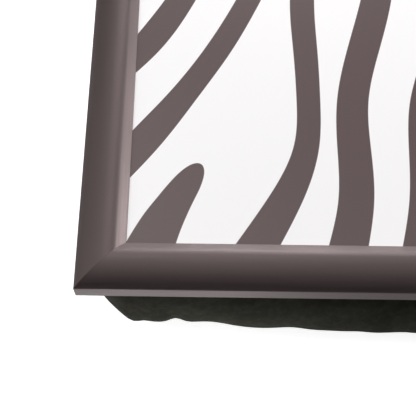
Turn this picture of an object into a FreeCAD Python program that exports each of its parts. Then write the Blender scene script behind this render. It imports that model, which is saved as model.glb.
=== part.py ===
"""Lap tray with a bead-filled cushion: a mitred frame round a printed panel, held on its cushion by hook and loop.

The tray stands on its cushion. +X runs along the long front rail, +Y towards the rear rail and +Z up, and the
origin is on the surface that the cushion rests on, under the middle of the tray. All sizes are millimetres.
"""

import FreeCAD
import Part
import math
import os

Vector = FreeCAD.Vector

# Tray outline
tray_length = 440.0
tray_depth = 340.0

# Frame moulding, one section for all four rails, measured inwards and upwards from its outer lower edge
rail_width = 25.0
rail_edge_height = 10.0
edge_round_run = 1.4
edge_round_rise = 1.5
edge_round_bulge = 0.35
crown_start_run = 12.0
crown_start_height = 15.4
crown_end_run = 18.8
crown_end_height = 14.9
outer_slope_bulge = 0.25
crown_bulge = 0.7
inner_slope_bulge = 0.2
lip_top_height = 10.3
rebate_width = 7.0
rebate_height = 9.4

# Printed panel in the rebate: print on top, board in the middle, balancing sheet below
panel_clearance = 0.5
print_thickness = 0.6
board_thickness = 3.6
backing_thickness = 0.4

# Folded steel nails that pull each mitre together from below
nail_wing_length = 5.0
nail_wing_angle = 62.0
nail_thickness = 0.8
nail_height = 7.0
nail_first_distance = 9.0
nail_pitch = 8.0
nails_per_corner = 2

# Steel points that hold the panel up in the rebate
point_width = 8.0
point_thickness = 0.5
point_grip_length = 7.0
point_tip_length = 3.0
point_bite = 6.0
points_per_long_rail = 4
points_per_short_rail = 3

# Hook and loop pads, one pair near each corner
pad_length = 60.0
pad_width = 22.0
pad_corner_radius = 3.0
hook_thickness = 1.8
loop_thickness = 1.6
pad_inset = 52.0

# Cushion: its height to the top of its top cloth, the cloth's thickness, and the room left round the filling
cushion_height = 65.4
top_cloth_thickness = 1.0
cover_thickness = 1.0
seam_allowance = 9.0
filling_clearance = 0.5

# Bag outlines at its top seam, at its fullest level and at its base: how far inside the tray's outline they lie,
# how round their corners are, and how far their sides draw in or swell out between the corners
seam_inset = 24.0
seam_corner_radius = 22.0
seam_draw_in = 3.5
belly_height = 23.0
belly_inset = 1.5
belly_corner_radius = 34.0
belly_swell = 5.5
base_inset = 27.0
base_corner_radius = 57.0
base_swell = 6.5
base_flat_depth = 0.5
outer_outlines_per_quarter = 6
inner_outlines_per_quarter = 4

# How far a cutting shape runs past what it cuts
overrun = 2.0

# Heights worked out from the stack that the cushion carries
pad_joint_height = cushion_height + loop_thickness
panel_underside = pad_joint_height + hook_thickness
board_underside = panel_underside + backing_thickness
print_underside = board_underside + board_thickness
print_top = print_underside + print_thickness
frame_bottom = print_top - rebate_height

# Places worked out from the outline
half_length = tray_length / 2
half_depth = tray_depth / 2
rebate_wall = rail_width - rebate_width
panel_length = tray_length - 2 * (rebate_wall + panel_clearance)
panel_depth = tray_depth - 2 * (rebate_wall + panel_clearance)
diagonal_share = math.sqrt(0.5)

# Inset, corner radius and swell of the bag's three main outlines
SEAM = (seam_inset, seam_corner_radius, -seam_draw_in)
BELLY = (belly_inset, belly_corner_radius, belly_swell)
BASE = (base_inset, base_corner_radius, base_swell)

Z_AXIS = Vector(0, 0, 1)
SIDES = {"front": 0, "right": 90, "rear": 180, "left": 270}


def bulged_arc(start, end, bulge):
    """An arc across Y from start to end, which stands bulge to the left of the straight line between them."""
    along = end - start
    across = Vector(0, -along.z, along.y).normalize()
    middle = (start + end) / 2 + across * bulge
    return Part.Arc(start, middle, end).toShape()


def line(start, end):
    return Part.LineSegment(start, end).toShape()


def block(length, depth, bottom, height):
    """An upright block centred on the origin."""
    return Part.makeBox(length, depth, height, Vector(-length / 2, -depth / 2, bottom))


def turned(shape, degrees):
    """A copy of a shape, turned about the tray's upright middle line."""
    copy = shape.copy()
    copy.rotate(Vector(0, 0, 0), Z_AXIS, degrees)
    return copy


def prism(points, bottom, height):
    """An upright prism over a closed outline of (x, y) points."""
    corners = [Vector(x, y, bottom) for x, y in points]
    return Part.Face(Part.makePolygon(corners + corners[:1])).extrude(Z_AXIS * height)


def moulding_section(outer_y):
    """The moulding's section across Y, with its outer edge at outer_y and the rebate inside and below."""
    def at(run, height):
        return Vector(0, outer_y + run, frame_bottom + height)

    foot = at(0, 0)
    edge_top = at(0, rail_edge_height)
    slope_start = at(edge_round_run, rail_edge_height + edge_round_rise)
    crown_start = at(crown_start_run, crown_start_height)
    crown_end = at(crown_end_run, crown_end_height)
    lip_top = at(rail_width, lip_top_height)
    lip_foot = at(rail_width, rebate_height)
    rebate_top = at(rebate_wall, rebate_height)
    rebate_foot = at(rebate_wall, 0)
    edges = [
        line(foot, edge_top),
        bulged_arc(edge_top, slope_start, edge_round_bulge),
        bulged_arc(slope_start, crown_start, outer_slope_bulge),
        bulged_arc(crown_start, crown_end, crown_bulge),
        bulged_arc(crown_end, lip_top, inner_slope_bulge),
        line(lip_top, lip_foot),
        line(lip_foot, rebate_top),
        line(rebate_top, rebate_foot),
        line(rebate_foot, foot),
    ]
    return Part.Face(Part.Wire(edges))


def mitred_rail(length, depth):
    """A front rail for a tray of this length and depth, cut at 45 degrees at both ends."""
    outer_y = -depth / 2
    section = moulding_section(outer_y)
    section.translate(Vector(-length / 2, 0, 0))
    bar = section.extrude(Vector(length, 0, 0))
    outer = length / 2 + overrun
    inner = length / 2 - rail_width - overrun
    low, high = outer_y - overrun, outer_y + rail_width + overrun
    plan = [(-outer, low), (outer, low), (inner, high), (-inner, high)]
    return bar.common(prism(plan, frame_bottom - overrun, crown_start_height + crown_bulge + 2 * overrun))


def corner_nails():
    """Folded nails across the four mitres, their fold on the joint line and a wing in each rail."""
    wing = math.radians(nail_wing_angle)
    reach, rise = nail_wing_length * math.sin(wing), nail_wing_length * math.cos(wing)
    fold = nail_thickness / math.sin(wing)
    plan = [(0, 0), (reach, rise), (reach, rise + fold), (0, fold), (-reach, rise + fold), (-reach, rise)]
    nail = prism(plan, frame_bottom, nail_height)
    nail.rotate(Vector(0, 0, 0), Z_AXIS, -45)
    nails = []
    for side_x, side_y, turn in ((-1, -1, 0), (1, -1, 90), (1, 1, 180), (-1, 1, 270)):
        for index in range(nails_per_corner):
            distance = (nail_first_distance + index * nail_pitch) * diagonal_share
            copy = turned(nail, turn)
            copy.translate(Vector(side_x * (half_length - distance), side_y * (half_depth - distance), 0))
            nails.append(copy)
    return nails


def rail_points(length, depth, count):
    """Steel points along a front rail of this length, each driven level into the wall of the rebate."""
    wall_y = -depth / 2 + rebate_wall
    half = point_width / 2
    tip, shoulder, heel = wall_y - point_bite, wall_y - point_bite + point_tip_length, wall_y + point_grip_length
    pitch = (length - 2 * rebate_wall) / count
    points = []
    for index in range(count):
        x = (index + 0.5 - count / 2) * pitch
        plan = [(x, tip), (x + half, shoulder), (x + half, heel), (x - half, heel), (x - half, shoulder)]
        points.append(prism(plan, panel_underside - point_thickness, point_thickness))
    return points


def rounded_outline(length, depth, radius, swell, height):
    """A closed outline of four side arcs and four corner arcs. The sides stand out by swell, or in if it is negative."""
    x, y = length / 2, depth / 2
    inside = radius * (1 - diagonal_share)
    corners = []
    for sx, sy in ((1, -1), (1, 1), (-1, 1), (-1, -1)):
        along_x = Vector(sx * (x - radius), sy * y, height)
        along_y = Vector(sx * x, sy * (y - radius), height)
        middle = Vector(sx * (x - inside), sy * (y - inside), height)
        corners.append((along_x, middle, along_y) if sx * sy < 0 else (along_y, middle, along_x))
    edges = []
    for index, (start, middle, end) in enumerate(corners):
        following = corners[(index + 1) % len(corners)][0]
        outwards = Vector(end.y - following.y, following.x - end.x, 0).normalize() * -1
        edges.append(Part.Arc(start, middle, end).toShape())
        halfway = (end + following) / 2
        if swell:
            edges.append(Part.Arc(end, halfway + outwards * swell, following).toShape())
        else:
            edges.append(line(end, following))
    return Part.Wire(edges)


def bag_outline(height, form, wall):
    """One level outline of the bag from its inset, corner radius and swell, moved inwards by wall."""
    inset, radius, swell = form
    length, depth = tray_length - 2 * (inset + wall), tray_depth - 2 * (inset + wall)
    return rounded_outline(length, depth, radius - wall, swell, height)


def between(first, second, share):
    """Values that lie a share of the way from the first ones to the second ones."""
    return tuple(start + (end - start) * share for start, end in zip(first, second))


def bag_form(wall, top, steps):
    """The bag's crowned form, wall inside its outer face, up to the height top and cut flat where it stands.

    Its sides follow a quarter of an ellipse from the base out to the belly and another one in to the seam, each
    with this many steps.
    """
    foot = wall - base_flat_depth
    turns = [math.pi / 2 * step / steps for step in range(steps + 1)]
    outlines = []
    for turn in turns[:-1]:
        height = belly_height - (belly_height - foot) * math.cos(turn)
        outlines.append(bag_outline(height, between(BASE, BELLY, math.sin(turn)), wall))
    for turn in turns:
        height = belly_height + (top - belly_height) * math.sin(turn)
        outlines.append(bag_outline(height, between(SEAM, BELLY, math.cos(turn)), wall))
    above_base = block(2 * tray_length, 2 * tray_depth, wall, 2 * cushion_height)
    return Part.makeLoft(outlines, True, True).common(above_base)


def seam_plate(bottom, thickness, inset):
    """A flat plate inside the top seam's outline."""
    outline = bag_outline(bottom, SEAM, inset)
    return Part.Face(outline).extrude(Z_AXIS * thickness)


def cushion_cover():
    """The lower cover: a thin bag whose rim turns in under the top cloth as a seam allowance."""
    rim_top = cushion_height - top_cloth_thickness
    outer = bag_form(0, rim_top, outer_outlines_per_quarter)
    hollow = bag_form(cover_thickness, rim_top - cover_thickness, inner_outlines_per_quarter)
    mouth = seam_plate(rim_top - cover_thickness - overrun, cover_thickness + 2 * overrun, seam_allowance)
    return outer.cut(hollow).cut(mouth)


def bead_filling():
    """The loose bead filling, shown as the one closed form that it takes inside the cover."""
    inside = cover_thickness + filling_clearance
    return bag_form(inside, cushion_height - top_cloth_thickness - inside, inner_outlines_per_quarter)


def pad(bottom, thickness):
    """One hook or loop pad with rounded corners, centred on the origin."""
    outline = rounded_outline(pad_length, pad_width, pad_corner_radius, 0, bottom)
    return Part.Face(outline).extrude(Z_AXIS * thickness)


def corner_places():
    """The pads' middles, by name, one near each corner of the panel."""
    x, y = half_length - pad_inset - pad_length / 2, half_depth - pad_inset - pad_width / 2
    return {"front_left": (-x, -y), "front_right": (x, -y), "rear_left": (-x, y), "rear_right": (x, y)}


def build():
    """Every piece of the tray, by node name."""
    nodes = {}
    nails = corner_nails()
    points = []
    rails = {}
    for side, turn in SIDES.items():
        long_side = side in ("front", "rear")
        length, depth = (tray_length, tray_depth) if long_side else (tray_depth, tray_length)
        count = points_per_long_rail if long_side else points_per_short_rail
        rails[side] = turned(mitred_rail(length, depth), turn)
        points += [turned(point, turn) for point in rail_points(length, depth, count)]
    for side, rail in rails.items():
        nodes[side + "_rail"] = rail.cut(nails + points)
    nodes["corner_nails"] = Part.makeCompound(nails)
    nodes["panel_points"] = Part.makeCompound(points)

    nodes["print_sheet"] = block(panel_length, panel_depth, print_underside, print_thickness)
    nodes["tray_board"] = block(panel_length, panel_depth, board_underside, board_thickness)
    nodes["backing_sheet"] = block(panel_length, panel_depth, panel_underside, backing_thickness)

    for corner, (x, y) in corner_places().items():
        for name, bottom, thickness in (
            ("hook_pad_", pad_joint_height, hook_thickness),
            ("loop_pad_", cushion_height, loop_thickness),
        ):
            nodes[name + corner] = pad(bottom, thickness)
            nodes[name + corner].translate(Vector(x, y, 0))

    nodes["cushion_top_cloth"] = seam_plate(cushion_height - top_cloth_thickness, top_cloth_thickness, 0)
    nodes["cushion_cover"] = cushion_cover()
    nodes["bead_filling"] = bead_filling()
    return nodes


def main():
    os.makedirs("parts", exist_ok=True)
    for name, shape in build().items():
        print(f"{name}: {len(shape.Solids)} solid(s), {shape.Volume:.0f} mm3, valid {shape.isValid()}")
        shape.exportStep(f"parts/{name}.step")


main()
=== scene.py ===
"""The looks of a lap tray with a bead-filled cushion, built round its packed construction.

Lengths are metres in the part's own frame: +X runs along the front rail, +Y to the rear
and +Z up from the floor.
"""

import logging
import math
from dataclasses import astuple, dataclass, field
from enum import Enum
from typing import Any, Iterable, Mapping, Sequence, Union

import bmesh
import bpy
from mathutils import Matrix, Vector


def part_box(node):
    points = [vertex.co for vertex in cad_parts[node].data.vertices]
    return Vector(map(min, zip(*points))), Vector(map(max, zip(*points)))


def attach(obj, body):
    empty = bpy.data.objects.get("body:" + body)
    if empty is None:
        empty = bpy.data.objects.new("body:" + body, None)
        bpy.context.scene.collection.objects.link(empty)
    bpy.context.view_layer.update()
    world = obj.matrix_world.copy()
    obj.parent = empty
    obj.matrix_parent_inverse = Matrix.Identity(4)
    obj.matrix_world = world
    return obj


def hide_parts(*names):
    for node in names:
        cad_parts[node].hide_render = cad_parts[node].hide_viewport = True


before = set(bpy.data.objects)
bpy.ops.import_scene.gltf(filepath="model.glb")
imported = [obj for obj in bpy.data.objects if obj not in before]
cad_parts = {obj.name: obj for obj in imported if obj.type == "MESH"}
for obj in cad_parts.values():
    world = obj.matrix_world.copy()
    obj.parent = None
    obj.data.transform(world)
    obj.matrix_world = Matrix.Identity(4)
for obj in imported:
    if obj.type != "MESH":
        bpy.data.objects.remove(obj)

log = logging.getLogger("lap_tray")

MM = 0.001
Colour = tuple[float, float, float]
Scale = tuple[float, float, float]
Number = Union["Socket", float]


class Socket:
    """A shader value on which ordinary arithmetic adds the Math nodes that it needs."""

    def __init__(self, graph: "Graph", link: bpy.types.NodeSocket) -> None:
        """Wraps one output of a node in a graph."""
        self.graph = graph
        self.link = link

    def math(self, operation: str, *values: Number) -> "Socket":
        """Adds one Math node.

        Args:
            operation: the node's operation.
            values: its inputs, in order.

        Returns:
            The node's result.
        """
        return self.graph.node("ShaderNodeMath", {"operation": operation}, dict(enumerate(values)))

    def __add__(self, other: Number) -> "Socket":
        """The sum with another value, on either side."""
        return self.math("ADD", self, other)

    __radd__ = __add__

    def __sub__(self, other: Number) -> "Socket":
        """The difference from another value."""
        return self.math("SUBTRACT", self, other)

    def __rsub__(self, other: Number) -> "Socket":
        """A number less this value."""
        return self.math("SUBTRACT", other, self)

    def __mul__(self, other: Number) -> "Socket":
        """The product with another value, on either side."""
        return self.math("MULTIPLY", self, other)

    __rmul__ = __mul__

    def __truediv__(self, other: Number) -> "Socket":
        """The quotient by another value."""
        return self.math("DIVIDE", self, other)

    def __abs__(self) -> "Socket":
        """The value without its sign."""
        return self.math("ABSOLUTE", self)

    def root(self) -> "Socket":
        """The square root."""
        return self.math("SQRT", self)

    def wave(self) -> "Socket":
        """The sine of the value, in radians."""
        return self.math("SINE", self)

    def least(self, other: Number) -> "Socket":
        """The smaller of this and another value."""
        return self.math("MINIMUM", self, other)

    def most(self, other: Number) -> "Socket":
        """The larger of this and another value."""
        return self.math("MAXIMUM", self, other)

    def step(self, low: float, high: float) -> "Socket":
        """Rises smoothly from 0 at low to 1 at high.

        Args:
            low: the value that gives 0.
            high: the value that gives 1.

        Returns:
            The eased share.
        """
        settings = {"interpolation_type": "SMOOTHSTEP"}
        limits = {"Value": self, "From Min": low, "From Max": high, "To Min": 0.0, "To Max": 1.0}
        return self.graph.node("ShaderNodeMapRange", settings, limits)


class Graph:
    """The node tree of one material or world."""

    def __init__(self, tree: bpy.types.NodeTree) -> None:
        """Takes over a node tree and empties it."""
        self.tree = tree
        tree.nodes.clear()

    def node(
        self,
        kind: str,
        settings: Mapping[str, Any] | None = None,
        inputs: Mapping[Any, Any] | None = None,
        output: int | str = 0,
    ) -> Socket | None:
        """Adds one node.

        Args:
            kind: the node's type name.
            settings: its own settings, set first; stops are a colour ramp's.
            inputs: values or links for its sockets, by name or number.
            output: which of its outputs to hand on.

        Returns:
            That output, or None for a node without one.
        """
        made = self.tree.nodes.new(kind)
        for name, value in (settings or {}).items():
            if name == "stops":
                self._set_stops(made.color_ramp, value)
            elif name == "blend":
                made.color_ramp.interpolation = value
            else:
                setattr(made, name, value)
        for name, value in (inputs or {}).items():
            if isinstance(value, Socket):
                self.tree.links.new(value.link, made.inputs[name])
            else:
                made.inputs[name].default_value = value
        return Socket(self, made.outputs[output]) if made.outputs else None

    @staticmethod
    def _set_stops(ramp: bpy.types.ColorRamp, stops: Sequence[tuple[float, Colour]]) -> None:
        """Puts stops on a colour ramp in place of its own.

        Args:
            ramp: the ramp.
            stops: positions from 0 to 1 with a colour each.
        """
        while len(ramp.elements) > 1:
            ramp.elements.remove(ramp.elements[-1])
        for index, (position, colour) in enumerate(stops):
            element = ramp.elements[0] if index == 0 else ramp.elements.new(position)
            element.position = position
            element.color = (*colour, 1.0)

    def place(self, output: str = "Object") -> Socket:
        """The point on the surface, in object coordinates or another output's."""
        return self.node("ShaderNodeTexCoord", output=output)

    def axes(self, vector: Socket) -> tuple[Socket, Socket, Socket]:
        """The three numbers of a vector."""
        made = self.node("ShaderNodeSeparateXYZ", None, {0: vector})
        return tuple(Socket(self, made.link.node.outputs[axis]) for axis in range(3))

    def scaled(self, vector: Socket, scale: Scale) -> Socket:
        """A vector with each of its numbers scaled."""
        return self.node("ShaderNodeMapping", None, {"Vector": vector, "Scale": scale})

    def noise(self, vector: Socket, scale: float, detail: float = 3.0) -> Socket:
        """Smooth noise from 0 to 1, with this many bumps to a metre."""
        return self.node("ShaderNodeTexNoise", None, {"Vector": vector, "Scale": scale, "Detail": detail})

    def mix(self, share: Number, first: Any, second: Any) -> Socket:
        """A colour a share of the way from the first to the second."""
        inputs = {0: share, 6: self._colour(first), 7: self._colour(second)}
        return self.node("ShaderNodeMix", {"data_type": "RGBA"}, inputs, 2)

    @staticmethod
    def _colour(value: Any) -> Any:
        """A colour with its alpha, or a socket as it is."""
        return value if isinstance(value, Socket) else (*value, 1.0)

    def bump(self, height: Socket, depth: float) -> Socket:
        """A normal that follows a height from 0 to 1, this many metres deep."""
        return self.node("ShaderNodeBump", None, {"Height": height, "Strength": 1.0, "Distance": depth})

    def surface(self, **inputs: Any) -> None:
        """Ends the graph in a Principled surface.

        Args:
            inputs: its sockets by name, with underscores for spaces.
        """
        sockets = {}
        for name, value in inputs.items():
            socket = name.replace("_", " ").title().replace("Ior", "IOR")
            sockets[socket] = self._colour(value) if isinstance(value, tuple) else value
        shader = self.node("ShaderNodeBsdfPrincipled", None, sockets)
        self.node("ShaderNodeOutputMaterial", None, {"Surface": shader})


def shaded(colour: Colour, share: float) -> Colour:
    """A colour with this share of its light."""
    return tuple(share * part for part in colour)


class Finish:
    """A surface finish that makes its material once and dresses any number of pieces with it."""

    name: str

    def paint(self, graph: Graph) -> None:
        """Fills the material's graph; each finish has its own."""
        raise NotImplementedError

    def material(self) -> bpy.types.Material:
        """The finish's material, made at its first use.

        Returns:
            The material.
        """
        made = bpy.data.materials.get(self.name)
        if made is None:
            made = bpy.data.materials.new(self.name)
            made.use_nodes = True
            self.paint(Graph(made.node_tree))
        return made

    def dress(self, piece: bpy.types.Object) -> None:
        """Gives a piece this finish in place of any other."""
        piece.data.materials.clear()
        piece.data.materials.append(self.material())
        log.info("%s: %s", piece.name, self.name)


@dataclass(frozen=True)
class MouldingFoil(Finish):
    """Dark brown satin foil, wrapped along the moulding."""

    name: str = "moulding_foil"
    colour: Colour = (0.0215, 0.0142, 0.0140)
    streak_colour: Colour = (0.0280, 0.0185, 0.0182)
    sheen_tint: Colour = (1.0, 0.80, 0.80)
    streak_scale: Scale = (18.0, 600.0, 1.0)
    speck_scale: float = 2600.0
    roughness: float = 0.55
    rough_spread: float = 0.16
    grain_depth: float = 0.02 * MM
    ior: float = 1.84

    def paint(self, graph: Graph) -> None:
        """Long faint streaks along the rail, with a fine satin grain.

        Args:
            graph: the material's graph.
        """
        along = graph.place("UV")
        streaks = graph.noise(graph.scaled(along, self.streak_scale), 1.0, 4.0)
        specks = graph.noise(along, self.speck_scale, 2.0)
        rough = self.roughness + self.rough_spread * (specks - 0.5) + self.rough_spread * (streaks - 0.5)
        graph.surface(
            base_color=graph.mix(streaks.step(0.35, 0.75), self.colour, self.streak_colour),
            roughness=rough,
            normal=graph.bump(specks, self.grain_depth),
            specular_tint=self.sheen_tint,
            ior=self.ior,
        )


class TipEnd(Enum):
    """Which way a stripe's tapered end points, if it has one."""

    NONE = 0
    REAR = 1
    FRONT = -1


@dataclass(frozen=True)
class Stripe:
    """One printed stripe: its left and right edge at even steps of depth.

    All are millimetres from the frame's front left corner.
    """

    start: float
    edges: tuple[tuple[float, float], ...]
    step: float = 30.0
    tip: TipEnd = TipEnd.NONE
    tip_length: float = 18.0

    @property
    def end(self) -> float:
        """How far from the front the last stop lies."""
        return self.start + (len(self.edges) - 1) * self.step

    def controls(self) -> list[tuple[float, ...]]:
        """The control points of smooth lines that pass through the edges.

        Returns:
            Left and right edge, a step apart, with one more straight step at each end.
        """
        first = tuple(2 * a - b for a, b in zip(self.edges[0], self.edges[1]))
        last = tuple(2 * a - b for a, b in zip(self.edges[-1], self.edges[-2]))
        line = [first, *self.edges, last]
        inner = [
            tuple(b - (a - 2 * b + c) / 6 for a, b, c in zip(*line[index - 1:index + 2]))
            for index in range(1, len(line) - 1)
        ]
        return [first, *inner, last]


ZEBRA = (
    Stripe(110, ((1, 9), (17, 37), (36, 54), (51, 67), (61, 76), (67, 82), (70, 87), (72, 90))),
    Stripe(50, (
        (1, 15), (17, 39.5), (41, 58.5), (61, 77), (77, 91.5), (90, 104), (99, 113), (104, 118), (107, 121),
        (108, 122),
    )),
    Stripe(15, ((19.5, 47.5), (26.5, 51), (34, 56), (44, 62), (51, 69)), 14, TipEnd.REAR),
    Stripe(20, (
        (76.5, 100), (96, 115), (111, 124.5), (113, 126), (112.5, 126), (111, 125), (113, 127), (117.5, 132),
        (124, 139.5), (130, 146.5), (135, 153),
    )),
    Stripe(20, (
        (125.5, 146), (133.5, 152), (134, 152), (135, 152), (141.5, 159.5), (150, 168), (157, 173.5),
        (161, 177), (163.5, 179), (165, 182), (166, 185),
    )),
    Stripe(20, (
        (163, 183), (170, 189), (172, 191.5), (174.5, 194), (184.5, 203), (194, 212), (201.5, 219),
        (206, 223), (208.5, 225), (210.5, 227.5), (212, 230),
    )),
    Stripe(20, (
        (204, 223), (209, 227), (213, 230), (216, 233), (222, 239), (231, 248), (238, 255),
    ), 30, TipEnd.REAR, 36),
    Stripe(20, (
        (243.5, 262), (248, 266), (251, 270), (255, 273), (263, 280), (269, 287), (271, 289), (268, 287),
        (261, 280), (255, 274), (250, 268),
    )),
    Stripe(20, (
        (283.5, 304), (288, 307), (293, 311), (297, 314), (302, 319), (307, 323), (309, 326), (307, 325),
        (302, 321), (296, 316), (290, 312),
    )),
    Stripe(20, (
        (326.5, 346), (331, 349), (334, 351), (336, 352), (340, 356), (345, 361), (347.5, 364), (347, 364),
        (344, 362), (339, 358), (333, 354),
    )),
    Stripe(20, (
        (368.5, 389), (373.5, 391), (376.5, 393), (378.5, 394), (381.5, 396), (384, 398.5),
    ), 30, TipEnd.REAR, 39),
    Stripe(196, ((388, 404), (385.5, 402.5), (379, 399), (370, 394)), 40, TipEnd.FRONT, 30),
    Stripe(236, ((236, 250), (236, 251), (236, 244)), 40, TipEnd.FRONT, 36),
    Stripe(60, ((402, 420), (406, 424), (412, 430)), 60, TipEnd.FRONT, 21),
)


@dataclass(frozen=True)
class StripePrint(Finish):
    """A white print with dark brown zebra stripes under a clear satin laminate."""

    corner: Vector
    size: Vector
    name: str = "stripe_print"
    white: Colour = (0.90, 0.885, 0.892)
    ink: Colour = (0.112, 0.079, 0.079)
    edge_softness: float = 0.16 * MM
    tip_softness: float = 0.5 * MM
    margin: float = 60 * MM
    ink_spread: float = 0.05
    ink_grain: float = 1500.0
    ripple_scale: float = 700.0
    ripple_depth: float = 0.006 * MM
    roughness: float = 0.32
    rough_spread: float = 0.06
    gloss: float = 0.22

    def stripe(self, graph: Graph, x: Socket, y: Socket, stripe: Stripe) -> Socket:
        """How deep inside a stripe the point lies.

        Args:
            graph: the print's graph.
            x: metres to the right of the frame's front left corner.
            y: metres behind it.
            stripe: the stripe.

        Returns:
            Metres inside its edge, negative outside.
        """
        controls = stripe.controls()
        steps = len(controls) - 1
        reach = self.size.x + 2 * self.margin
        stops = [
            (index / steps, ((left * MM + self.margin) / reach, (right * MM + self.margin) / reach, 0.0))
            for index, (left, right) in enumerate(controls)
        ]
        along = (y - (stripe.start - stripe.step) * MM) / (steps * stripe.step * MM)
        edges = graph.node("ShaderNodeValToRGB", {"blend": "B_SPLINE", "stops": stops}, {"Fac": along})
        left, right, _ = graph.axes(edges)
        middle = (left + right) * (0.5 * reach) - self.margin
        half = (right - left) * (0.5 * reach)
        if stripe.tip is not TipEnd.NONE:
            end = (stripe.end if stripe.tip is TipEnd.REAR else stripe.start) * MM
            before = (end - y) * float(stripe.tip.value)
            share = (before / (stripe.tip_length * MM)).most(0.0).least(1.0)
            taper = (share * (2.0 - share)).root()
            half = half * taper - (1.0 - before.step(-self.tip_softness, 0.0)) * self.size.x
        return half - abs(x - middle)

    def paint(self, graph: Graph) -> None:
        """Stripes from their edge lines, in slightly uneven ink, under a laminate with a faint ripple.

        Args:
            graph: the material's graph.
        """
        place = graph.place()
        x, y, _ = graph.axes(place)
        x = x - self.corner.x
        y = y - self.corner.y
        inside = None
        for stripe in ZEBRA:
            depth = self.stripe(graph, x, y, stripe)
            inside = depth if inside is None else inside.most(depth)
        mask = inside.step(-self.edge_softness, self.edge_softness)
        grain = graph.noise(place, self.ink_grain, 2.0)
        pale = shaded(self.ink, 1 + self.ink_spread)
        ink = graph.mix(grain, shaded(self.ink, 1 - self.ink_spread), pale)
        ripple = graph.noise(place, self.ripple_scale, 2.0)
        graph.surface(
            base_color=graph.mix(mask, self.white, ink),
            roughness=self.roughness + self.rough_spread * (grain - 0.5),
            normal=graph.bump(ripple, self.ripple_depth),
            specular_ior_level=self.gloss,
        )


@dataclass(frozen=True)
class CushionCloth(Finish):
    """Soft, nearly black woven cloth with a faint green cast and lint on its nap."""

    name: str = "cushion_cloth"
    colour: Colour = (0.0270, 0.0268, 0.0203)
    worn_colour: Colour = (0.0585, 0.0572, 0.0450)
    thread: float = 0.55 * MM
    mottle_scale: float = 60.0
    nap_scale: float = 260.0
    lint_scale: Scale = (900.0, 260.0, 1.0)
    rumple_scale: float = 95.0
    rumple_depth: float = 1.0 * MM
    roughness: float = 0.86
    rough_spread: float = 0.08

    def paint(self, graph: Graph) -> None:
        """A plain weave along the cloth's own map, with mottled dye and lint.

        Args:
            graph: the material's graph.
        """
        cloth = graph.place("UV")
        place = graph.place()
        u, v, _ = graph.axes(cloth)
        turn = math.pi / self.thread
        weave = 0.5 + 0.5 * ((u * turn).wave() * (v * turn).wave())
        mottle = graph.noise(place, self.mottle_scale, 4.0)
        nap = graph.noise(place, self.nap_scale, 3.0)
        lint = graph.noise(graph.scaled(cloth, self.lint_scale), 1.0, 3.0)
        rumple = graph.noise(cloth, self.rumple_scale, 4.0)
        worn = mottle.step(0.3, 0.8) * 0.45 + nap.step(0.35, 0.7) * 0.35 + lint.step(0.55, 0.8) * 0.35
        height = weave * 0.10 + lint * 0.06 + rumple * 0.84
        graph.surface(
            base_color=graph.mix(worn.least(1.0), self.colour, self.worn_colour),
            roughness=self.roughness + self.rough_spread * (weave - 0.5),
            normal=graph.bump(height, self.rumple_depth),
            specular_ior_level=0.06,
            sheen_weight=0.03,
            sheen_roughness=0.5,
        )


@dataclass(frozen=True)
class Steel(Finish):
    """Plain bright steel strip with fine rolling lines."""

    name: str = "steel"
    colour: Colour = (0.52, 0.52, 0.53)
    bloom_shade: float = 0.8
    bloom_scale: float = 500.0
    line_scale: Scale = (300.0, 300.0, 9000.0)

    def paint(self, graph: Graph) -> None:
        """Rolling lines and a little grey bloom.

        Args:
            graph: the material's graph.
        """
        place = graph.place()
        lines = graph.noise(graph.scaled(place, self.line_scale), 1.0, 2.0)
        bloom = graph.noise(place, self.bloom_scale, 3.0)
        colour = graph.mix(bloom, shaded(self.colour, self.bloom_shade), self.colour)
        graph.surface(base_color=colour, metallic=1.0, roughness=0.28 + 0.2 * lines)


@dataclass(frozen=True)
class FibreFinish(Finish):
    """A matt finish of short fibres, as on raw board, paper or thread.

    Clouds and fibres give the scale and detail of its colour and of its relief.
    """

    name: str
    colour: Colour
    dark: float
    light: float
    clouds: tuple[float, float]
    fibres: tuple[float, float]
    depth: float
    roughness: float
    rough_spread: float | None = None

    def paint(self, graph: Graph) -> None:
        """Lighter and darker clouds over a relief of fibres.

        Args:
            graph: the material's graph.
        """
        place = graph.place()
        clouds = graph.noise(place, *self.clouds)
        fibres = graph.noise(place, *self.fibres)
        rough = self.roughness if self.rough_spread is None else self.roughness + self.rough_spread * fibres
        colour = graph.mix(clouds, shaded(self.colour, self.dark), shaded(self.colour, self.light))
        graph.surface(base_color=colour, roughness=rough, normal=graph.bump(fibres, self.depth))


FIBREBOARD = FibreFinish(
    "fibreboard", (0.36, 0.24, 0.14), 0.7, 1.25, (1800.0, 5.0), (1800.0, 5.0), 0.05 * MM, 0.9
)
BACKING_PAPER = FibreFinish(
    "backing_paper", (0.026, 0.024, 0.023), 1.0, 1.6, (90.0, 5.0), (2400.0, 3.0), 0.03 * MM, 0.82
)
THREAD = FibreFinish(
    "thread", (0.020, 0.020, 0.019), 1.0, 2.0, (4000.0, 2.0), (4000.0, 2.0), 0.04 * MM, 0.55, 0.2
)


class TapeKind(Enum):
    """The two halves of a touch fastener."""

    HOOK = "hook"
    LOOP = "loop"


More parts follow.
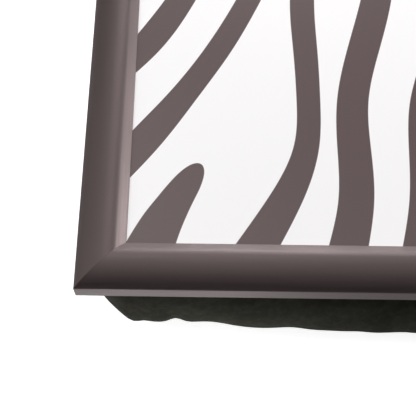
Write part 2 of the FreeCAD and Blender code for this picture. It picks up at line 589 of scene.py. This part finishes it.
@dataclass(frozen=True)
class FastenerTape(Finish):
    """Black touch-fastener tape: rows of stiff hooks, or a napped loop pile, with painted shade in the
    hollows and a painted highlight on the tops.
    """

    kind: TapeKind
    name: str = "fastener_tape"
    colour: Colour = (0.018, 0.018, 0.019)
    # Shares of the colour for the painted shade in the hollows and the painted highlight on the tops.
    dark: float = 0.6
    light: float = 2.2
    hook_pitch: float = 1.5 * MM
    hook_depth: float = 0.5 * MM
    pile_scale: float = 1400.0
    pile_stretch: Scale = (1.0, 1.6, 1.0)
    pile_depth: float = 0.7 * MM

    def paint(self, graph: Graph) -> None:
        """Hooks as a grid of studs, loops as a tangled pile, coloured darker in the hollows and lighter on
        the tops as painted shade and highlight.

        Args:
            graph: the material's graph.
        """
        place = graph.place()
        if self.kind is TapeKind.HOOK:
            x, y, _ = graph.axes(place)
            turn = 2 * math.pi / self.hook_pitch
            height = ((x * turn).wave() * (y * turn).wave()).step(0.15, 0.6)
            depth, rough = self.hook_depth, 0.5
        else:
            height = graph.noise(graph.scaled(place, self.pile_stretch), self.pile_scale, 6.0)
            depth, rough = self.pile_depth, 0.95
        # Painted shade and highlight: the colour follows the relief's height, dark in the hollows and light
        # on the tops.
        colour = graph.mix(height, shaded(self.colour, self.dark), shaded(self.colour, self.light))
        graph.surface(base_color=colour, roughness=rough, normal=graph.bump(height, depth))


def linked(name: str, mesh: bmesh.types.BMesh) -> bpy.types.Object:
    """Puts a finished mesh in the scene.

    Args:
        name: the object's name.
        mesh: its mesh, in place, which is used up.

    Returns:
        The object.
    """
    data = bpy.data.meshes.new(name)
    mesh.to_mesh(data)
    mesh.free()
    made = bpy.data.objects.new(name, data)
    bpy.context.scene.collection.objects.link(made)
    return made


def new_piece(name: str, mesh: bmesh.types.BMesh, body: str) -> bpy.types.Object:
    """Makes an object of a finished mesh and hangs it on a body.

    Args:
        name: the piece's name.
        mesh: its mesh, in place, which is used up.
        body: the body that it moves with.

    Returns:
        The object.
    """
    piece = linked(name, mesh)
    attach(piece, body)
    log.info("%s: %d faces", name, len(piece.data.polygons))
    return piece


def shade_smooth(piece: bpy.types.Object, sharp_angle: float) -> None:
    """Shades a piece smooth, with creases where its faces meet at more than this angle."""
    piece.data.shade_smooth()
    piece.data.set_sharp_from_angle(angle=sharp_angle)


class Side(Enum):
    """The frame's sides, by their number of quarter turns from the front."""

    FRONT = 0
    RIGHT = 1
    REAR = 2
    LEFT = 3

    @property
    def node(self) -> str:
        """The rail's node name."""
        return f"{self.name.lower()}_rail"


@dataclass(frozen=True)
class SectionPoint:
    """A point of the moulding's section, with the bulge of the line that leads to it.

    All are shares of the rail's box.
    """

    run: float
    rise: float
    bulge: float = 0.0
    steps: int = 1


@dataclass
class MouldingFrame:
    """The four mitred rails of dark moulding."""

    foil: MouldingFoil = field(default_factory=MouldingFoil)
    edge_round: float = 0.22 * MM
    mitre_gap: float = 0.06 * MM
    sharp_angle: float = math.radians(32)
    section: tuple[SectionPoint, ...] = (
        SectionPoint(0.0, 0.006),
        SectionPoint(0.0, 0.630),
        SectionPoint(0.16, 0.8021, 0.0068, 6),
        SectionPoint(0.52, 0.9773, 0.0149, 11),
        SectionPoint(0.696, 0.9748, 0.0066, 7),
        SectionPoint(0.832, 0.8702, 0.0108, 8),
        SectionPoint(1.0, 0.649),
        SectionPoint(1.0, 0.593),
        SectionPoint(0.72, 0.593),
        SectionPoint(0.72, 0.006),
    )

    def outline(self, width: float, height: float) -> list[Vector]:
        """The section's points in order round it.

        Args:
            width: the rail's width.
            height: its height.

        Returns:
            Points in the YZ plane from the outer lower edge.
        """
        points: list[Vector] = []
        for spot in self.section:
            end = Vector((0.0, spot.run * width, spot.rise * height))
            if points and spot.steps > 1:
                start = points[-1]
                along = end - start
                across = Vector((0.0, -along.z, along.y)).normalized() * spot.bulge * width
                for step in range(1, spot.steps):
                    share = step / spot.steps
                    points.append(start + along * share + across * 4 * share * (1 - share))
            points.append(end)
        return points

    def rail(self, side: Side) -> bpy.types.Object:
        """Extrudes the section along one side, cuts both mitres and rounds the edges.

        Args:
            side: the side.

        Returns:
            The rail.
        """
        low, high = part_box(side.node)
        long_axis = 0 if side in (Side.FRONT, Side.REAR) else 1
        length = high[long_axis] - low[long_axis]
        width = high[1 - long_axis] - low[1 - long_axis]
        rise = high.z - low.z
        away = max(abs(low[1 - long_axis]), abs(high[1 - long_axis]))
        mesh = bmesh.new()
        girth_layer = mesh.verts.layers.float.new("girth")
        start = Vector((-length / 2, -away, low.z))
        girth = 0.0
        ring = []
        outline = self.outline(width, rise)
        for index, point in enumerate(outline):
            girth += (point - outline[index - 1]).length if index else 0.0
            vert = mesh.verts.new(start + point)
            vert[girth_layer] = girth
            ring.append(vert)
        edges = [mesh.edges.new((ring[i], ring[(i + 1) % len(ring)])) for i in range(len(ring))]
        swept = bmesh.ops.extrude_edge_only(mesh, edges=edges)["geom"]
        moved = [item for item in swept if isinstance(item, bmesh.types.BMVert)]
        bmesh.ops.translate(mesh, verts=moved, vec=(length, 0, 0))
        bmesh.ops.recalc_face_normals(mesh, faces=mesh.faces)
        inner = [edge for edge in mesh.edges if len(edge.link_faces) == 2]
        creases = [edge for edge in inner if edge.calc_face_angle(0) > self.sharp_angle]
        bmesh.ops.bevel(
            mesh, geom=creases, offset=self.edge_round, segments=2, profile=0.5, affect="EDGES", material=-1
        )
        for end in (-1, 1):
            corner = Vector((end * (length / 2 - self.mitre_gap), -away, 0))
            outwards = Vector((end, 1, 0)).normalized()
            geometry = mesh.verts[:] + mesh.edges[:] + mesh.faces[:]
            bmesh.ops.bisect_plane(mesh, geom=geometry, plane_co=corner, plane_no=outwards, clear_outer=True)
        rims = [e for e in mesh.edges if e.is_boundary]
        bmesh.ops.holes_fill(mesh, edges=rims, sides=0)
        bmesh.ops.recalc_face_normals(mesh, faces=mesh.faces)
        uv = mesh.loops.layers.uv.new("length_and_girth")
        for face in mesh.faces:
            for loop in face.loops:
                loop[uv].uv = (loop.vert.co.x + side.value, loop.vert[girth_layer])
        turn = Matrix.Rotation(side.value * math.pi / 2, 3, "Z")
        bmesh.ops.rotate(mesh, cent=(0, 0, 0), matrix=turn, verts=mesh.verts)
        piece = new_piece(f"moulding_{side.name.lower()}", mesh, "tray")
        shade_smooth(piece, self.sharp_angle)
        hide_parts(side.node)
        return piece

    def build(self) -> None:
        """Makes and dresses all four rails."""
        for side in Side:
            self.foil.dress(self.rail(side))


class PrintedPanel:
    """The print, the board below it and its backing, which keep their own solids."""

    def build(self) -> None:
        """Dresses the three layers."""
        low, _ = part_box("left_rail")
        _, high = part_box("right_rail")
        front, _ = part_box("front_rail")
        corner = Vector((low.x, front.y, 0))
        size = Vector((high.x - low.x, high.y - front.y, 0))
        finishes = {
            "print_sheet": StripePrint(corner, size),
            "tray_board": FIBREBOARD,
            "backing_sheet": BACKING_PAPER,
        }
        for node, finish in finishes.items():
            finish.dress(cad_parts[node])


@dataclass
class Fixings:
    """The steel nails and points, and the touch-fastener pads, which keep their own solids."""

    steel_nodes: tuple[str, ...] = ("corner_nails", "panel_points")

    def build(self) -> None:
        """Dresses every fixing."""
        steel = Steel()
        tapes = {kind: FastenerTape(kind, f"{kind.value}_tape") for kind in TapeKind}
        for node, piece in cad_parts.items():
            finish = steel if node in self.steel_nodes else None
            for kind, tape in tapes.items():
                if node.startswith(f"{kind.value}_pad"):
                    finish = tape
            if finish is not None:
                finish.dress(piece)


@dataclass(frozen=True)
class BagOutline:
    """One level outline of the cushion: half its length and depth, corner radius and the sides' swell."""

    half_length: float
    half_depth: float
    radius: float
    swell: float

    def towards(self, other: "BagOutline", share: float) -> "BagOutline":
        """An outline a share of the way to another one."""
        return BagOutline(*(a + (b - a) * share for a, b in zip(astuple(self), astuple(other))))

    def point(self, across: float, along: float) -> Vector:
        """Maps a point of the unit square's rim to this outline.

        Args:
            across: from -1 at the left to 1 at the right.
            along: from -1 at the front to 1 at the rear.

        Returns:
            The point, level with the origin.
        """
        on_end = abs(across) > abs(along)
        half, away = (self.half_depth, self.half_length) if on_end else (self.half_length, self.half_depth)
        run, sign = (along, across) if on_end else (across, along)
        share = abs(run) / max(abs(sign), 1e-9)
        straight = half - self.radius
        distance = share * (straight + self.radius * math.pi / 4)
        if distance <= straight:
            offset = Vector((distance, away + self.swell * (1 - (distance / straight) ** 2)))
        else:
            angle = (distance - straight) / self.radius
            back = self.radius * (1 - math.cos(angle))
            offset = Vector((straight + self.radius * math.sin(angle), away - back))
        placed = Vector((math.copysign(offset.x, run), math.copysign(offset.y, sign), 0))
        return Vector((placed.y, placed.x, 0)) if on_end else placed


@dataclass(frozen=True)
class BagForm:
    """The bag's form: its seam, its fullest level and its base, and how a square cloth covers it."""

    seam: BagOutline
    belly: BagOutline
    base: BagOutline
    top: float
    level: float
    wall_share: float
    upper_share: float

    def point(self, across: float, along: float) -> Vector:
        """Maps a square cloth to the bag: its rim to the seam, its border to the sides, the rest to the base.

        Args:
            across: from -1 at the left to 1 at the right.
            along: from -1 at the front to 1 at the rear.

        Returns:
            The point on the bag.
        """
        out = max(abs(across), abs(along))
        down = (1 - out) / self.wall_share
        if down >= 1:
            return self.base.point(across, along) * (out / (1 - self.wall_share))
        if down < self.upper_share:
            turn = down / self.upper_share * math.pi / 2
            outline = self.seam.towards(self.belly, math.sin(turn))
            height = self.level + (self.top - self.level) * math.cos(turn)
        else:
            turn = (down - self.upper_share) / (1 - self.upper_share) * math.pi / 2
            outline = self.belly.towards(self.base, 1 - math.cos(turn))
            height = self.level * (1 - math.sin(turn))
        return outline.point(across, along) + Vector((0, 0, height))


@dataclass
class TopCloth:
    """The flat cloth that closes the bag, drawn into small gathers along its seam."""

    seam: BagOutline
    cloth: CushionCloth
    cells: int = 110
    rim_share: float = 0.94
    rim_drop: float = 0.5 * MM
    gather_pitch: float = 13 * MM
    gather_depth: float = 0.9 * MM
    gather_share: float = 0.86
    sag: float = 0.5 * MM

    def height(self, across: float, along: float, flat: Vector) -> float:
        """How far the cloth lies below its flat level.

        Args:
            across: from -1 at the left to 1 at the right.
            along: from -1 at the front to 1 at the rear.
            flat: the point on the level cloth.

        Returns:
            The drop in metres.
        """
        out = max(abs(across), abs(along))
        rim = max((out - self.rim_share) / (1 - self.rim_share), 0.0)
        gathered = max((out - self.gather_share) / (1 - self.gather_share), 0.0)
        run = flat.x if abs(along) >= abs(across) else flat.y
        turn = 2 * math.pi * run / self.gather_pitch
        # Uneven waves that drift against each other, as hand-fed gathers do.
        wave = 0.5 + 0.3 * math.sin(turn + 1.7 * math.sin(turn / 3.3)) + 0.2 * math.sin(turn * 0.61 + 2)
        slow = 0.5 + 0.5 * math.sin(flat.x * 41 + 1) * math.sin(flat.y * 37 + 2)
        return self.rim_drop * rim * rim + self.gather_depth * gathered * wave + self.sag * slow * gathered

    def build(self) -> None:
        """Makes and dresses the cloth."""
        low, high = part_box("cushion_top_cloth")
        mesh = bmesh.new()
        bmesh.ops.create_grid(mesh, x_segments=self.cells, y_segments=self.cells, size=1.0)
        for vert in mesh.verts:
            across, along = vert.co.x, vert.co.y
            flat = self.seam.point(across, along) * max(abs(across), abs(along))
            vert.co = (flat.x, flat.y, high.z - self.height(across, along, flat))
        bmesh.ops.recalc_face_normals(mesh, faces=mesh.faces)
        uv = mesh.loops.layers.uv.new("cloth")
        for face in mesh.faces:
            for loop in face.loops:
                loop[uv].uv = loop.vert.co.xy
        area = sum(face.calc_area() for face in mesh.faces)
        piece = new_piece("cushion_top", mesh, "cushion")
        piece.data.shade_smooth()
        thick = piece.modifiers.new("thickness", "SOLIDIFY")
        thick.thickness = high.z - low.z
        thick.offset = -1.0
        self.cloth.dress(piece)
        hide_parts("cushion_top_cloth")


@dataclass
class PadStitches:
    """The sewn rows that hold the loop pads to the top cloth."""

    inset: float = 2.4 * MM
    pitch: float = 2.9 * MM
    length: float = 2.2 * MM
    thickness: float = 0.55 * MM
    proud: float = 0.08 * MM

    def row(self, mesh: bmesh.types.BMesh, start: Vector, end: Vector) -> None:
        """Sews one straight row.

        Args:
            mesh: where the stitches go.
            start: the row's start.
            end: its end.
        """
        run = end - start
        count = max(round(run.length / self.pitch), 1)
        turn = run.to_track_quat("X", "Z").to_matrix().to_4x4()
        shape = Matrix.Diagonal((self.length / 2, self.thickness / 2, self.thickness / 2, 1))
        for index in range(count):
            middle = start + run * ((index + 0.5) / count)
            place = Matrix.Translation(middle) @ turn @ shape
            bmesh.ops.create_uvsphere(mesh, u_segments=6, v_segments=6, radius=1.0, matrix=place)

    def build(self) -> None:
        """Sews round each loop pad."""
        mesh = bmesh.new()
        for node in sorted(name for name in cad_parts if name.startswith("loop_pad")):
            low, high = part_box(node)
            level = high.z + self.proud - self.thickness / 2
            xs = (low.x + self.inset, high.x - self.inset)
            ys = (low.y + self.inset, high.y - self.inset)
            corners = [Vector((xs[i], ys[j], level)) for i, j in ((0, 0), (1, 0), (1, 1), (0, 1))]
            for index, corner in enumerate(corners):
                self.row(mesh, corner, corners[(index + 1) % len(corners)])
        piece = new_piece("loop_pad_stitches", mesh, "cushion")
        piece.data.shade_smooth()
        THREAD.dress(piece)


@dataclass(frozen=True)
class Tuck:
    """A soft upright dent in one side of the bag, or a swelling where its depth is negative.

    All are millimetres. It leans by lean over the bag's height and fades out a reach from the side.
    """

    side: Side
    place: float
    depth: float
    width: float = 7.0
    lean: float = 8.0
    reach: float = 55.0

    def push(self, point: Vector, half: Vector) -> Vector:
        """Moves a point of the bag inwards by its share of the dent.

        Args:
            point: the point.
            half: half the bag's length and depth, and its height.

        Returns:
            The moved point.
        """
        sizes = (self.place, self.depth, self.width, self.lean, self.reach)
        place, depth, width, lean, reach = (size * MM for size in sizes)
        turn = Matrix.Rotation(self.side.value * math.pi / 2, 3, "Z")
        along = turn @ Vector((1, 0, 0))
        inwards = turn @ Vector((0, 1, 0))
        away = abs(inwards.dot(half))
        nearness = min(max((-inwards.dot(point) - away + reach) / reach, 0.0), 1.0)
        height = point.z / half.z
        offset = (along.dot(point) - place + lean * height) / width
        share = math.exp(-offset * offset) * nearness * nearness * (3 - 2 * nearness) * (1 - height ** 3)
        return point + inwards * (depth * share)


TUCKS = (
    Tuck(Side.FRONT, -192, -2.2, 7),
    Tuck(Side.FRONT, -186, 1.0, 4, 10),
    Tuck(Side.FRONT, -167, 2.7, 5, 12),
    Tuck(Side.FRONT, -150, 2.3, 14),
    Tuck(Side.FRONT, -103, 0.8, 7),
    Tuck(Side.FRONT, 12, 2.0, 9, -8),
    Tuck(Side.FRONT, 118, 2.6, 7, 6),
    Tuck(Side.RIGHT, -88, 2.2, 8, -7),
    Tuck(Side.RIGHT, 46, 2.8, 7),
    Tuck(Side.REAR, -140, 2.4, 8),
    Tuck(Side.REAR, -24, 1.8, 10, -9),
    Tuck(Side.REAR, 96, 3.0, 7, 10),
    Tuck(Side.LEFT, -62, 2.6, 8, -8),
    Tuck(Side.LEFT, 74, 2.0, 9),
    Tuck(Side.LEFT, 158, 2.6, 16, 0.0),
)


@dataclass
class Cushion:
    """The sewn bag of beads and its flat top cloth."""

    cloth: CushionCloth = field(default_factory=CushionCloth)
    cells: int = 92
    wall_share: float = 0.34
    upper_share: float = 0.58
    belly_share: float = 0.36
    seam_radius: float = 22 * MM
    seam_draw_in: float = 3.5 * MM
    belly_radius: float = 34 * MM
    belly_bow: float = 7.5 * MM
    belly_swell: float = 2.5 * MM
    base_inset: float = 29 * MM
    base_radius: float = 57 * MM
    slack_share: float = 0.025
    rest_gap: float = 0.9 * MM
    pressure: float = 60.0
    weight_share: float = 0.1
    quality: int = 6
    cloth_mass: float = 0.2
    stretch: float = 12.0
    shear: float = 6.0
    bend: float = 0.3
    frames: int = 40

    def form(self) -> BagForm:
        """The bag's form, from the construction's own boxes.

        Returns:
            The form.
        """
        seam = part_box("cushion_top_cloth")[1]
        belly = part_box("cushion_cover")[1]
        full, base = self.belly_bow, self.base_inset
        return BagForm(
            BagOutline(seam.x, seam.y, self.seam_radius, -self.seam_draw_in),
            BagOutline(belly.x - full, belly.y - full, self.belly_radius, self.belly_swell),
            BagOutline(belly.x - base, belly.y - base, self.base_radius, self.belly_swell),
            belly.z,
            belly.z * self.belly_share,
            self.wall_share,
            self.upper_share,
        )

    def bag(self) -> bpy.types.Object:
        """Shapes the bag from one square of cloth and closes it under the top cloth.

        Returns:
            The bag, before it settles.
        """
        mesh = bmesh.new()
        bmesh.ops.create_grid(mesh, x_segments=self.cells, y_segments=self.cells, size=1.0)
        uv = mesh.loops.layers.uv.new("cloth")
        _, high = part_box("cushion_cover")
        reach = Vector((high.x, high.y)) / (1 - self.wall_share)
        for face in mesh.faces:
            for loop in face.loops:
                loop[uv].uv = (loop.vert.co.x * reach.x, loop.vert.co.y * reach.y)
        form = self.form()
        for vert in mesh.verts:
            vert.co = form.point(vert.co.x, vert.co.y)
        rim = [e for e in mesh.edges if e.is_boundary]
        bmesh.ops.triangle_fill(mesh, use_beauty=True, edges=rim)
        bmesh.ops.recalc_face_normals(mesh, faces=mesh.faces)
        return new_piece("cushion_bag", mesh, "cushion")

    def build(self) -> None:
        """Makes, settles and dresses the bag and its top cloth."""
        bag = self.bag()
        self.settle(bag)
        self.refine(bag)
        self.tuck_in(bag)
        bag.data.shade_smooth()
        self.cloth.dress(bag)
        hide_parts("cushion_cover", "bead_filling")
        TopCloth(self.form().seam, self.cloth).build()

    @staticmethod
    def refine(bag: bpy.types.Object) -> None:
        """Rounds the bag's cloth into cells fine enough for its dents.

        Args:
            bag: the bag, whose mesh is replaced.
        """
        smooth = bag.modifiers.new("smooth", "SUBSURF")
        smooth.levels = smooth.render_levels = 1
        graph = bpy.context.evaluated_depsgraph_get()
        coarse = bag.data
        bag.data = bpy.data.meshes.new_from_object(
            bag.evaluated_get(graph), preserve_all_data_layers=True, depsgraph=graph
        )
        bag.modifiers.clear()
        bpy.data.meshes.remove(coarse)

    @staticmethod
    def tuck_in(bag: bpy.types.Object) -> None:
        """Presses the dents of gathered cloth into the bag's sides.

        Args:
            bag: the bag, whose mesh is changed in place.
        """
        _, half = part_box("cushion_cover")
        for vert in bag.data.vertices:
            point = vert.co.copy()
            for tuck in TUCKS:
                point = tuck.push(point, half)
            vert.co = point

    def settle(self, bag: bpy.types.Object) -> None:
        """Lets the slack bag settle round its beads, between the floor and the tray.

        Args:
            bag: the bag, whose mesh is changed in place.
        """
        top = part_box("cushion_cover")[1].z
        pins = bag.vertex_groups.new(name="seam")
        pins.add([v.index for v in bag.data.vertices if v.co.z > top - 0.2 * MM], 1.0, "REPLACE")
        floor = self.plate("settle_floor", -self.rest_gap, 1)
        ceiling = self.plate("settle_ceiling", top + self.rest_gap, -1)
        cloth = bag.modifiers.new("settle", "CLOTH")
        settings = {
            "quality": self.quality,
            "mass": self.cloth_mass,
            "tension_stiffness": self.stretch,
            "compression_stiffness": self.stretch,
            "shear_stiffness": self.shear,
            "bending_stiffness": self.bend,
            "use_pressure": True,
            "uniform_pressure_force": self.pressure,
            "shrink_min": -self.slack_share,
            "vertex_group_mass": pins.name,
        }
        for name, value in settings.items():
            setattr(cloth.settings, name, value)
        cloth.settings.effector_weights.gravity = self.weight_share
        cloth.collision_settings.use_collision = True
        cloth.collision_settings.distance_min = 0.5 * MM
        cloth.collision_settings.use_self_collision = False
        cloth.point_cache.frame_end = self.frames
        scene = bpy.context.scene
        for step in range(1, self.frames + 1):
            scene.frame_set(step)
        graph = bpy.context.evaluated_depsgraph_get()
        settled = bpy.data.meshes.new_from_object(bag.evaluated_get(graph))
        bag.modifiers.clear()
        lowest = min(vert.co.z for vert in settled.vertices)
        for vert, moved in zip(bag.data.vertices, settled.vertices):
            rise = (moved.co.z - lowest) * top / (top - lowest)
            vert.co = (moved.co.x, moved.co.y, rise)
        scene.frame_set(1)
        bag.vertex_groups.clear()
        for plate in (floor, ceiling):
            bpy.data.objects.remove(plate)
        bpy.data.meshes.remove(settled)

    @staticmethod
    def plate(name: str, height: float, faces: int) -> bpy.types.Object:
        """A wide level plate for cloth to press against.

        Args:
            name: its name.
            height: where it lies.
            faces: 1 if it faces up, or -1.

        Returns:
            The plate.
        """
        mesh = bmesh.new()
        bmesh.ops.create_grid(mesh, x_segments=1, y_segments=1, size=0.5)
        bmesh.ops.translate(mesh, verts=mesh.verts, vec=(0, 0, height))
        if faces < 0:
            bmesh.ops.reverse_faces(mesh, faces=mesh.faces)
        made = linked(name, mesh)
        made.modifiers.new("stop", "COLLISION")
        made.collision.thickness_outer = 0.3 * MM
        return made


def heading(azimuth: float, elevation: float) -> Vector:
    """The direction at an angle from +Y towards +X and an angle upwards, both in radians."""
    level = math.cos(elevation)
    return Vector((math.sin(azimuth) * level, math.cos(azimuth) * level, math.sin(elevation)))


@dataclass(frozen=True)
class Lamp:
    """A square soft light that faces the middle of the tray, placed by the direction from there."""

    name: str
    azimuth: float
    elevation: float
    distance: float
    size: float
    power: float

    def hang(self) -> None:
        """Puts the lamp in the scene, unseen by the camera."""
        data = bpy.data.lights.new(self.name, "AREA")
        data.size = self.size
        data.energy = self.power
        lamp = bpy.data.objects.new(self.name, data)
        away = heading(math.radians(self.azimuth), math.radians(self.elevation))
        lamp.location = away * self.distance
        lamp.rotation_euler = away.to_track_quat("Z", "Y").to_euler()
        lamp.visible_camera = False
        bpy.context.scene.collection.objects.link(lamp)


LAMPS = (
    Lamp("right", 75, 12, 1.5, 0.6, 35.5),
    Lamp("rear", 0, 7, 1.5, 0.6, 18.0),
    Lamp("rear_high", 0, 35, 1.5, 0.6, 9.9),
    Lamp("rear_left", 315, 65, 1.5, 0.6, 4.3),
    Lamp("left", 270, 40, 1.5, 0.8, 4.8),
    Lamp("overhead", 0, 89, 1.5, 0.9, 5.4),
    Lamp("low_card_left", 219.9, 2, 0.321, 0.03, 0.023),
    Lamp("low_card_right", 210.8, 2, 0.286, 0.03, 0.020),
)


@dataclass
class Studio:
    """A pale floor, soft light and a camera above the frame's front left corner."""

    camera_offset: Vector = field(default_factory=lambda: Vector((66.93, -145.32, 416.70)) * MM)
    azimuth: float = math.radians(-0.30)
    pitch: float = math.radians(65.47)
    roll: float = math.radians(-0.49)
    lens: float = 77.24
    edge_share: float = 0.63
    floor_reach: float = 3.0
    floor_glow: float = 0.90
    # Painted reflection: the floor glows in reflections only, fading from the left towards the right across
    # the floor's x between the two places below.
    mirror_glow: float = 0.80
    painted_reflection_fade: float = 0.65
    painted_fade_start: float = -165 * MM
    painted_fade_end: float = -25 * MM
    glow_limit: float = 2.0
    floor_shade: float = 0.85

    def camera(self) -> None:
        """Places the camera by the frame's corner and looks down along +Y."""
        low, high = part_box("front_rail")
        corner = Vector((low.x, low.y, low.z + self.edge_share * (high.z - low.z)))
        ahead = heading(self.azimuth, -self.pitch)
        right = Vector((math.cos(self.azimuth), -math.sin(self.azimuth), 0))
        down = ahead.cross(right)
        turned_right = right * math.cos(self.roll) + down * math.sin(self.roll)
        turned_down = down * math.cos(self.roll) - right * math.sin(self.roll)
        data = bpy.data.cameras.new("camera")
        data.lens = self.lens
        data.sensor_width = 36.0
        data.clip_start = 0.01
        camera = bpy.data.objects.new("camera", data)
        axes = Matrix((turned_right, -turned_down, -ahead)).transposed()
        camera.matrix_world = Matrix.Translation(corner + self.camera_offset) @ axes.to_4x4()
        bpy.context.scene.collection.objects.link(camera)
        bpy.context.scene.camera = camera

    def floor(self) -> None:
        """A wide white floor that keeps a soft shadow and stays white to the camera, with a painted
        reflection glow that fades towards the right.
        """
        mesh = bmesh.new()
        bmesh.ops.create_grid(mesh, x_segments=1, y_segments=1, size=self.floor_reach)
        floor = linked("floor", mesh)
        material = bpy.data.materials.new("floor")
        material.use_nodes = True
        graph = Graph(material.node_tree)
        x, _, _ = graph.axes(graph.place())
        seen = graph.node("ShaderNodeLightPath", output="Is Camera Ray")
        mirrored = graph.node("ShaderNodeLightPath", output="Is Glossy Ray")
        # Painted reflection: in reflections the floor glows, brighter at the left and dimmer towards the
        # right.
        painted_fade = 1.0 - self.painted_reflection_fade * x.step(self.painted_fade_start, self.painted_fade_end)
        glow = seen * self.floor_glow + mirrored * painted_fade * self.mirror_glow
        graph.surface(
            base_color=(self.floor_shade,) * 3,
            roughness=1.0,
            specular_ior_level=0.0,
            emission_color=graph.mix(glow / self.glow_limit, (0.0, 0.0, 0.0), (1.0, 1.0, 1.0)),
            emission_strength=self.glow_limit,
        )
        floor.data.materials.append(material)

    def light(self) -> None:
        """Soft lamps, and a backdrop that only the camera sees as white."""
        world = bpy.data.worlds.new("studio")
        bpy.context.scene.world = world
        world.use_nodes = True
        graph = Graph(world.node_tree)
        seen = graph.node("ShaderNodeLightPath", output="Is Camera Ray")
        sky = graph.node("ShaderNodeBackground", None, {"Color": (1, 1, 1, 1), "Strength": seen})
        graph.node("ShaderNodeOutputWorld", None, {"Surface": sky})
        for lamp in LAMPS:
            lamp.hang()

    def build(self) -> None:
        """Sets the whole stage."""
        bpy.context.scene.view_settings.view_transform = "Standard"
        self.camera()
        self.floor()
        self.light()


def main() -> None:
    """Builds every sub-assembly and the stage."""
    logging.basicConfig(level=logging.INFO, format="%(message)s")
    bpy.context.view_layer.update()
    MouldingFrame().build()
    PrintedPanel().build()
    Fixings().build()
    Cushion().build()
    PadStitches().build()
    Studio().build()


if __name__ == "__main__":
    main()
